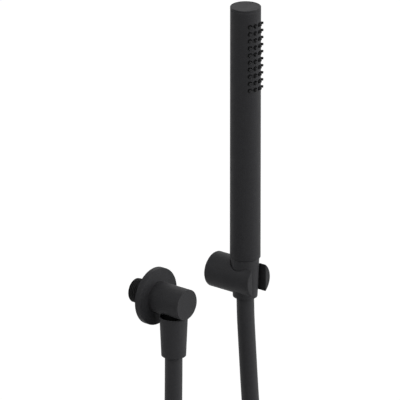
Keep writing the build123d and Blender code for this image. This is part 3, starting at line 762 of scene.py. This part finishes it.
# %% Node helper and colours
def linear(hex_colour):
    """Linear red, green, blue and alpha of an sRGB colour such as '2a2a2b'."""
    parts = np.array([int(hex_colour[i:i + 2], 16) for i in (0, 2, 4)]) / 255
    parts = np.where(parts <= 0.04045, parts / 12.92, ((parts + 0.055) / 1.055) ** 2.4)
    return (*parts.tolist(), 1.0)


def add(tree, kind, settings=(), inputs=()):
    """Adds one node with its settings, and gives each input a value or a link from a socket."""
    made = tree.nodes.new("ShaderNode" + kind)
    for name, value in dict(settings).items():
        setattr(made, name, value)
    for name, value in dict(inputs).items():
        if isinstance(value, bpy.types.NodeSocket):
            tree.links.new(value, made.inputs[name])
        else:
            made.inputs[name].default_value = value
    return made


def new_finish(name):
    """Empty material and its node tree."""
    made = bpy.data.materials.new(name)
    made.use_nodes = True
    made.node_tree.nodes.clear()
    return made, made.node_tree


def grain(tree, size, detail=2.0, stretch=(1.0, 1.0, 1.0)):
    """Even noise whose grains have a size in millimetres, stretched along the object's axes."""
    place = add(tree, "TexCoord").outputs["Object"]
    scaled = add(tree, "Mapping", inputs={"Vector": place, "Scale": stretch})
    return add(tree, "TexNoise", inputs={"Vector": scaled.outputs["Vector"], "Scale": 1 / (size * MM),
                                         "Detail": detail}).outputs["Fac"]


def between(tree, factor, low, high, start=0.3, stop=0.7):
    """A value between two numbers, as a noise goes from a start to a stop."""
    return add(tree, "MapRange", inputs={"Value": factor, "From Min": start, "From Max": stop, "To Min": low,
                                         "To Max": high}).outputs["Result"]


def two_tones(tree, factor, dark, light, start=0.35, stop=0.65):
    """A colour between two sRGB colours, as a noise goes from a start to a stop."""
    ramp = add(tree, "ValToRGB", inputs={"Fac": factor})
    for element, place, colour in zip(ramp.color_ramp.elements, (start, stop), (dark, light)):
        element.position, element.color = place, linear(colour)
    return ramp.outputs["Color"]


def relief(tree, height, depth, strength=1.0):
    """Bump from a height of 0 to 1 that stands for a real depth in millimetres."""
    return add(tree, "Bump", inputs={"Strength": strength, "Distance": depth * MM,
                                     "Height": height}).outputs["Normal"]


def principled(made, tree, **inputs):
    """Main shader with its inputs, named in the socket's words with _ for a space, to the output."""
    sockets = {name.replace("_", " "): value for name, value in inputs.items()}
    shader = add(tree, "BsdfPrincipled", inputs=sockets)
    add(tree, "OutputMaterial", inputs={"Surface": shader.outputs["BSDF"]})
    return made


# %% [markdown]
# Powder coat is a polyester paint that is baked on as dust. It flows out to a fine orange skin, so
# it mirrors very little and spreads its light. Its true grain of about 0.2 mm is too fine to show in
# a render, so it is drawn as a coarser one of 0.7 mm. The holder and the two hose nuts get a lighter
# copy of the same coat, which paints in how much lighter they look than the tube and the outlet under
# the same light.

# %% Powder coat
COAT_GRAIN, COAT_CLOUDS = 0.7, 9.0


def powder_coat(name, dark, light):
    """Polyester powder, baked: the grain gives a soft speckle, the clouds an uneven, dull sheen."""
    made, tree = new_finish(name)
    fine, coarse = grain(tree, COAT_GRAIN, 3.0), grain(tree, COAT_CLOUDS, 2.0)
    return principled(made, tree, Base_Color=two_tones(tree, fine, dark, light),
                      Roughness=between(tree, coarse, 0.56, 0.64), Specular_IOR_Level=0.15,
                      Normal=relief(tree, fine, 0.03, 0.35))


# %% [markdown]
# The hose is soft PVC, pressed through a ring die, with a satin skin and hardly any grain. The
# silicone of the nozzles is darker and duller, and the nozzles' ends are painted a little lighter,
# which stands for the light that their end faces catch.

# %% Hose, silicone and seals
HOSE_MARKS, SILICONE_GRAIN, RUBBER_GRAIN = 2.2, 0.6, 0.8


def smooth_pvc():
    """Extruded soft PVC: an even black that keeps a broad, faint shine along the hose."""
    made, tree = new_finish("satin_black_pvc")
    marks = grain(tree, HOSE_MARKS, 2.0)
    return principled(made, tree, Base_Color=two_tones(tree, marks, "3b3b3d", "404042"),
                      Roughness=between(tree, marks, 0.52, 0.6), Specular_IOR_Level=0.18,
                      Normal=relief(tree, marks, 0.03, 0.3))


def moulded_rubber(name, dark, light, roughness, size):
    """Moulded rubber or silicone: even colour, hardly any shine, with the fine grain of the mould."""
    made, tree = new_finish(name)
    fine = grain(tree, size, 2.0)
    return principled(made, tree, Base_Color=two_tones(tree, fine, dark, light), Roughness=roughness,
                      Specular_IOR_Level=0.2, Normal=relief(tree, fine, 0.02, 0.4))


# %% [markdown]
# The strap is woven from nylon yarn about 0.5 mm thick. The yarns cross over and under, which two
# waves at right angles give. So fine a weave would blur, so it is drawn a little coarser, with a
# yarn every 0.63 mm. One unit of a wave texture's scale makes 20 / 2 pi waves in a metre.

# %% Strap
YARN_STEP = math.pi / 5         # 0.628 mm


def wave_scale(step):
    """Scale of a wave texture whose waves are a step in millimetres apart."""
    return 2 * math.pi / (20 * step * MM)


def woven_strap():
    """Woven nylon: yarns that catch the light between dark gaps, under a soft fuzz."""
    made, tree = new_finish("woven_nylon_strap")
    place = add(tree, "TexCoord").outputs["Object"]
    waves = [add(tree, "TexWave", {"wave_type": "BANDS", "bands_direction": way},
                 {"Vector": place, "Scale": wave_scale(YARN_STEP)}).outputs["Fac"] for way in "YZ"]
    weave = add(tree, "Math", {"operation": "MULTIPLY"}, {0: waves[0], 1: waves[1]}).outputs[0]
    return principled(made, tree, Base_Color=two_tones(tree, weave, "161617", "2c2c2e", 0.1, 0.8),
                      Roughness=0.85, Specular_IOR_Level=0.2, Sheen_Weight=0.2, Sheen_Roughness=0.5,
                      Normal=relief(tree, weave, 0.2, 0.6))


# %% [markdown]
# The metals are brass and stainless steel straight from the lathe. The tool leaves rings about the
# axis, some tenths of a millimetre apart, so the metal's colour and roughness change a little from
# ring to ring. The pieces inside stand upright, and noise that is stretched across their axis gives
# them rings that are never quite even. The holder's boss lies down and shows its end face to the
# wall, so its rings are a wave about its own axis. The inlet's thread is brass under a thin dark coat.
# The handle's threaded end wears the same black, which paints the seam between handle and nut dark.
# The outlet's neck is that blackened brass too, in a near-black copy with almost no shine, which
# paints the deep shade in the gap between outlet and nut. The white pieces inside are acetal, a waxy
# plastic that lets a little light in.

# %% Metals and white plastic
TURNING_LINES, FACING_LINES, BLACKENED_GRAIN, ACETAL_GRAIN = 0.5, 0.8, 0.4, 1.5


def turned_metal(name, dark, light, roughness):
    """Brass or stainless steel from the lathe: bright, with uneven rings about the upright axis."""
    made, tree = new_finish(name)
    lines = grain(tree, TURNING_LINES, 3.0, stretch=(0.15, 0.15, 1.0))
    return principled(made, tree, Base_Color=two_tones(tree, lines, dark, light),
                      Roughness=between(tree, lines, roughness - 0.06, roughness + 0.06), Metallic=1.0,
                      Normal=relief(tree, lines, 0.01, 0.3))


def faced_metal(name, dark, light, roughness, centre):
    """End face turned on a lathe: even rings about an axis along Y through the centre, one for each
    step of the tool. The real step is near 0.15 mm, so it is drawn coarser to show."""
    made, tree = new_finish(name)
    place = add(tree, "TexCoord").outputs["Object"]
    centred = add(tree, "Mapping", inputs={"Vector": place, "Location": -np.array(centre) * MM})
    rings = add(tree, "TexWave", {"wave_type": "RINGS", "rings_direction": "Y"},
                {"Vector": centred.outputs["Vector"], "Scale": wave_scale(FACING_LINES),
                 "Distortion": 0.4}).outputs["Fac"]
    return principled(made, tree, Base_Color=two_tones(tree, rings, dark, light, 0.1, 0.9),
                      Roughness=between(tree, rings, roughness - 0.04, roughness + 0.04), Metallic=1.0,
                      Normal=relief(tree, rings, 0.01, 0.3))


def blackened_brass(name, dark, light, shine):
    """Brass under a thin dark coat that hides the metal and leaves a dull, slightly uneven black."""
    made, tree = new_finish(name)
    fine = grain(tree, BLACKENED_GRAIN, 3.0)
    return principled(made, tree, Base_Color=two_tones(tree, fine, dark, light),
                      Roughness=between(tree, fine, 0.5, 0.65), Specular_IOR_Level=shine,
                      Normal=relief(tree, fine, 0.02, 0.4))


def white_acetal():
    """Moulded acetal: waxy white, soft in its shadows because light goes a little way in."""
    made, tree = new_finish("moulded_white_acetal")
    fine = grain(tree, ACETAL_GRAIN, 2.0)
    return principled(made, tree, Base_Color=two_tones(tree, fine, "e4e4de", "edede8"),
                      Roughness=between(tree, fine, 0.36, 0.46), Subsurface_Weight=0.1, Subsurface_Scale=0.002,
                      Normal=relief(tree, fine, 0.02, 0.2))


# %% The finishes of the material slots
FINISH = {
    "black_coat": powder_coat("matte_black_powder_coat", "343436", "3f3f41"),
    "black_thread": blackened_brass("blackened_brass_thread", "101010", "1c1c1d", 0.25),
    "black_silicone": moulded_rubber("moulded_black_silicone", "222223", "2b2b2c", 0.6, SILICONE_GRAIN),
    "black_hose": smooth_pvc(),
    "tie_strap": woven_strap(),
    "seal_rubber": moulded_rubber("black_epdm_rubber", "1a1a1a", "222222", 0.7, RUBBER_GRAIN),
    "white_acetal": white_acetal(),
    "brass": turned_metal("turned_brass", "b29258", "c6a768", 0.3),
    "stainless": turned_metal("turned_stainless_steel", "a8a8aa", "c2c2c4", 0.33),
}
print("finishes:", ", ".join(made.name for made in FINISH.values()))

# %% [markdown]
# Every node of the frame gets the finish of its material slot, and the new pieces theirs. The
# nozzles are one object, so their end faces take a second material by where they lie: a face whose
# middle is further from the handle's axis than the nozzles' sides reach is an end. That second
# material is the silicone painted lighter, a painted highlight for the light that the ends catch.

# %% Each piece gets its finish
END_DEPTH = 0.1                 # how far below its tip a nozzle's end still gets the painted highlight
NOZZLE_END = HANDLE_R + NOZZLE_REACH - END_DEPTH


def dress(piece, finish):
    """Gives a piece one finish in place of what it has."""
    piece.data.materials.clear()
    piece.data.materials.append(finish)


for row in frame["record"]["subparts"]:
    dress(NODES[row["node"]], FINISH[row["material_slot"]])
dress(hose, FINISH["black_hose"])
dress(handle, FINISH["black_coat"])
# The holder and the nuts wear lighter copies of the coat: painted light for how much lighter they look than the
# tube.
dress(holder, powder_coat("powder_coat_painted_lighter_for_the_holder", "38383a", "424244"))
nut_coat_painted_lighter = powder_coat("powder_coat_painted_lighter_for_the_nuts", "3c3c3e", "474749")
for piece in (hand_nut, wall_nut):
    dress(piece, nut_coat_painted_lighter)
dress(NODES["holder_boss"], faced_metal("faced_brass", "ae9056", "bfa266", 0.34, (HOLDER_X, 0, 0)))
# The inlet's thread is blackened brass. The handle's threaded end, whose slot is brass, wears the same black,
# which paints the seam between handle and nut dark.
for piece in (inlet, NODES["inlet_adapter"]):
    dress(piece, FINISH["black_thread"])
# The neck wears a near-black, shineless copy of the blackened brass: painted shade for the deep gap between
# outlet and nut.
dress(spigot, blackened_brass("blackened_brass_neck_painted_shade", "050505", "0a0a0a", 0.02))
dress(nozzles, FINISH["black_silicone"])
# The nozzles' ends get a lighter silicone: a painted highlight for the light that their end faces catch.
nozzles.data.materials.append(moulded_rubber("silicone_tips_painted_highlight", "3a3a3b", "444446", 0.65, SILICONE_GRAIN))
middles = np.empty(3 * len(nozzles.data.polygons))
nozzles.data.polygons.foreach_get("center", middles)
from_axis = np.hypot(*(middles.reshape(-1, 3)[:, :2] / MM - HAND_AXIS).T)
nozzles.data.polygons.foreach_set("material_index", (from_axis > NOZZLE_END).astype(np.int32))
for piece in (left_strap, right_strap):
    dress(piece, FINISH["tie_strap"])
print("faces at the nozzles' ends:", (from_axis > NOZZLE_END).sum())

# %% [markdown]
# ## Studio
#
# The set is a pale floor under a white sky. A black object needs contrast more than brightness. The
# strongest soft light stands at the right and gives each round piece a slow rise to its right edge.
# One in front and a weaker one above it light the fronts and tops, one at the left lifts the other
# edge, and between them a darker band stays. The last light is behind the object, for whoever walks
# round it. The sky itself gives the surfaces only a little light, and its white is what the camera
# and the reflections see. The floor is a mid grey to the light that bounces, so that the undersides
# stay dark, and the camera sees it lifted to white, less the object's shadow.

# %% Floor
FLOOR_DROP = 20.0               # from the lowest piece to the floor
FLOOR_CORNERS = [(-30, -30, 0), (30, -30, 0), (30, 60, 0), (-30, 60, 0)]        # in metres
FLOOR_LIFT = 0.95
floor_z = cad_box[0][2] / MM - FLOOR_DROP
floor = mesh_object("floor", np.array(FLOOR_CORNERS) / MM + (0, 0, floor_z), [[0, 1, 2, 3]])
print("floor at", round(floor_z, 1), "mm")


def seen_directly(tree):
    """1 for rays from the camera and for mirrored or refracted views, otherwise 0."""
    path = add(tree, "LightPath")
    first = add(tree, "Math", {"operation": "MAXIMUM"}, {0: path.outputs["Is Camera Ray"],
                                                          1: path.outputs["Is Glossy Ray"]})
    return add(tree, "Math", {"operation": "MAXIMUM"}, {0: first.outputs[0],
                                                         1: path.outputs["Is Transmission Ray"]}).outputs[0]


def floor_finish():
    """Mid grey for the light that bounces, with a glow on top of it that only views see."""
    made, tree = new_finish("pale_floor")
    pale = add(tree, "BsdfDiffuse", inputs={"Color": linear("818181")})
    lift = add(tree, "Math", {"operation": "MULTIPLY"}, {0: seen_directly(tree), 1: FLOOR_LIFT})
    glow = add(tree, "Emission", inputs={"Color": (1, 1, 1, 1), "Strength": lift.outputs[0]})
    both_parts = add(tree, "AddShader", inputs={0: pale.outputs[0], 1: glow.outputs[0]})
    add(tree, "OutputMaterial", inputs={"Surface": both_parts.outputs[0]})
    return made


dress(floor, floor_finish())

# %% Sky
AMBIENT = 0.06
world = bpy.data.worlds.new("studio")
bpy.context.scene.world = world
world.use_nodes = True
world.node_tree.nodes.clear()
lit = add(world.node_tree, "Background", inputs={"Color": (1, 1, 1, 1), "Strength": AMBIENT})
seen = add(world.node_tree, "Background", inputs={"Color": (1, 1, 1, 1), "Strength": 1.0})
mixed = add(world.node_tree, "MixShader", inputs={0: seen_directly(world.node_tree), 1: lit.outputs[0],
                                                  2: seen.outputs[0]})
add(world.node_tree, "OutputWorld", inputs={"Surface": mixed.outputs[0]})


# %% Lamps
def softbox(name, direction, watts, distance=3.2, size=2.4):
    """Square area lamp that stands off in a direction and faces the hand shower."""
    lamp = bpy.data.lights.new(name, "AREA")
    lamp.size, lamp.energy = size, watts
    made = bpy.data.objects.new(name, lamp)
    bpy.context.collection.objects.link(made)
    away = Vector(direction).normalized()
    made.location = AIM + away * distance
    made.rotation_mode = "QUATERNION"
    made.rotation_quaternion = away.to_track_quat("Z", "Y")
    return made


softbox("right", (0.634, -0.768, 0.087), 47.0)
softbox("front_right", (-0.078, -0.816, 0.574), 24.0)
softbox("front_right_high", (-0.045, -0.467, 0.883), 5.0)
softbox("left", (-0.816, 0.078, 0.574), 21.5)
softbox("behind", (0.632, 0.522, 0.574), 10.0)
bpy.context.scene.view_settings.view_transform = "Standard"
print("lamps:", len(bpy.data.lights))
